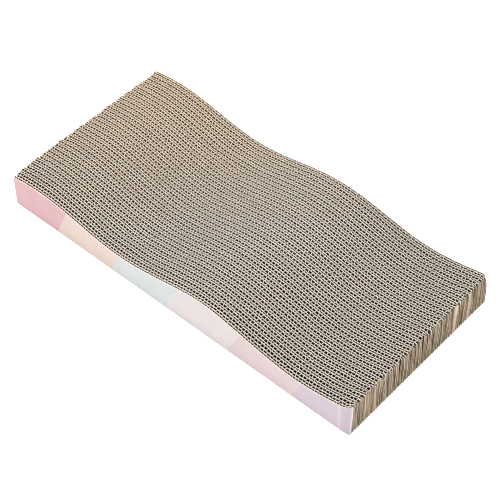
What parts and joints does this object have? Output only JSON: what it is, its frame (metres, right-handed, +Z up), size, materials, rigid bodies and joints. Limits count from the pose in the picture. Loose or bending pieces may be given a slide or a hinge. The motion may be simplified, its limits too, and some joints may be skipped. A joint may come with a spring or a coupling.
{
  "type": "cat scratcher",
  "caption": "Wavy block of upright double-wall corrugated strips glued side by side, with printed paper on its two long sides, for a cat to scratch and lie on.",
  "frame": {"origin": "middle of the base, on the surface it stands on", "axes": "+X along the boards to the right, +Y from the front to the back, +Z up"},
  "size_m": [0.45, 0.2138, 0.0454],
  "materials": {
    "kraft_board": "matte kraft",
    "fluted_paper": "matte kraft",
    "printed_liner": "matte printed paper"
  },
  "bodies": {
    "root": {"printed_liner_front": "printed_liner", "board_01": "kraft_board", "board_02": "kraft_board", "board_03": "kraft_board", "board_04": "kraft_board", "board_05": "kraft_board", "board_06": "kraft_board", "board_07": "kraft_board", "board_08": "kraft_board", "board_09": "kraft_board", "board_10": "kraft_board", "board_11": "kraft_board", "board_12": "kraft_board", "board_13": "kraft_board", "board_14": "kraft_board", "board_15": "kraft_board", "board_16": "kraft_board", "board_17": "kraft_board", "board_18": "kraft_board", "board_19": "kraft_board", "board_20": "kraft_board", "board_21": "kraft_board", "board_22": "kraft_board", "board_23": "kraft_board", "board_24": "kraft_board", "board_25": "kraft_board", "board_26": "kraft_board", "board_27": "kraft_board", "board_28": "kraft_board", "board_29": "kraft_board", "board_30": "kraft_board", "board_31": "kraft_board", "board_32": "kraft_board", "board_33": "kraft_board", "board_34": "kraft_board", "board_35": "kraft_board", "board_36": "kraft_board", "flutes_01_06": "fluted_paper", "flutes_07_12": "fluted_paper", "flutes_13_18": "fluted_paper", "flutes_19_24": "fluted_paper", "flutes_25_30": "fluted_paper", "flutes_31_36": "fluted_paper", "printed_liner_back": "printed_liner"}
  },
  "joints": []
}
